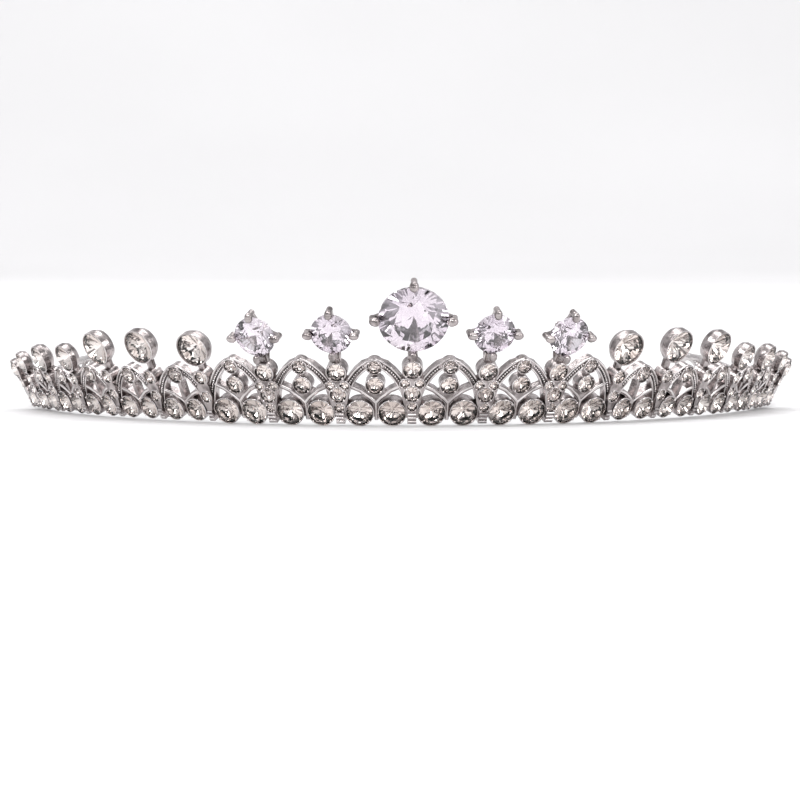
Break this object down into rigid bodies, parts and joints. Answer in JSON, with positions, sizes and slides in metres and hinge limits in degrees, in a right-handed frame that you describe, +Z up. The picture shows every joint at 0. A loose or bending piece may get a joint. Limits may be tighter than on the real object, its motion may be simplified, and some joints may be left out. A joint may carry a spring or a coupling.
{
  "type": "tiara",
  "caption": "Flared openwork tiara band set with cut stones, with clawed crystals and cupped stones on spikes, and wire arms that end in hairpin eyelets.",
  "frame": {"origin": "middle of the footprint, on the surface that the tiara stands on", "axes": "+Z up, the front crystal faces -Y, the wire arms run back along +Y, +X is the wearer's left"},
  "size_m": [0.1296, 0.1358, 0.0226],
  "materials": {
    "metal": "polished cast alloy with a warm silver plating",
    "crystal": "clear, brilliant cut, faint lavender",
    "rhinestone": "foil-backed, grey-beige, faceted"
  },
  "bodies": {
    "root": {"metalwork": "metal", "base_row_stones": "rhinestone", "band_stones": "rhinestone", "crystal_front": "crystal", "crystal_l1": "crystal", "crystal_r1": "crystal", "crystal_l2": "crystal", "crystal_r2": "crystal", "cup_stone_l3": "rhinestone", "cup_stone_r3": "rhinestone", "cup_stone_l4": "rhinestone", "cup_stone_r4": "rhinestone", "cup_stone_l5": "rhinestone", "cup_stone_r5": "rhinestone", "cup_stone_l6": "rhinestone", "cup_stone_r6": "rhinestone", "cup_stone_l7": "rhinestone", "cup_stone_r7": "rhinestone", "cup_stone_l8": "rhinestone", "cup_stone_r8": "rhinestone", "cup_stone_l9": "rhinestone", "cup_stone_r9": "rhinestone"}
  },
  "joints": []
}
